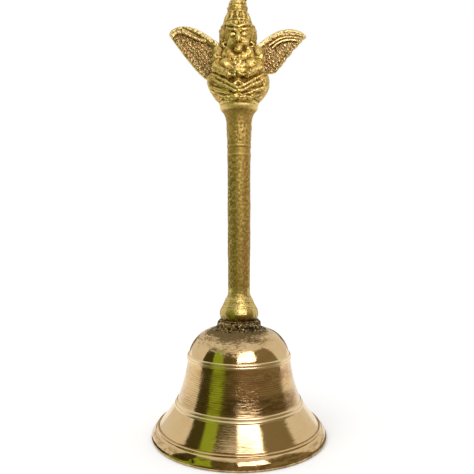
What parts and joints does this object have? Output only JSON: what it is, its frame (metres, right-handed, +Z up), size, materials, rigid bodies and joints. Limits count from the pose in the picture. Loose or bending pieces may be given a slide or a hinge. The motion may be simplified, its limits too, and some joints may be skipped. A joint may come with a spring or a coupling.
{
  "type": "hand bell",
  "caption": "Brass prayer hand bell with a turned flared cup, a cast rod handle topped by a winged kneeling figure, and a ball clapper hung inside on a ring.",
  "frame": {"origin": "centre of the flat rim that the bell stands on", "axes": "+Z up along the bell's axis to the crown of the figure, +X to the right as seen from the front, and the figure faces -Y"},
  "size_m": [0.066, 0.066, 0.1664],
  "materials": {
    "turned_brass": "turned and polished, with fine lathe rings",
    "cast_brass": "sand cast, lightly brushed, dark in the hollows",
    "scorched_brass": "rough, blackened by the brazing torch",
    "plain_steel": "plain, slightly dull",
    "brass_wire": "drawn, satin"
  },
  "bodies": {
    "bell": {"bell_cup": "turned_brass", "crown_boss": "scorched_brass", "crown_braze": "scorched_brass", "neck_braze": "scorched_brass", "handle": "cast_brass", "winged_figure": "cast_brass", "left_wing": "cast_brass", "right_wing": "cast_brass", "eye_bolt": "plain_steel", "crown_washer": "plain_steel", "jam_nut": "plain_steel"},
    "link": {"link_ring": "brass_wire"},
    "clapper": {"clapper_rod": "brass_wire", "clapper_ball": "turned_brass"}
  },
  "joints": [
    {"name": "clapper_swing", "type": "hinge", "parent": "bell", "child": "link", "pos_m": [0, 0, 0.02895], "axis": [0, 1, 0], "range_deg": [-40, 40]},
    {"name": "clapper_rock", "type": "hinge", "parent": "link", "child": "clapper", "pos_m": [0, 0, 0.0243], "axis": [1, 0, 0], "range_deg": [-18, 18]}
  ]
}
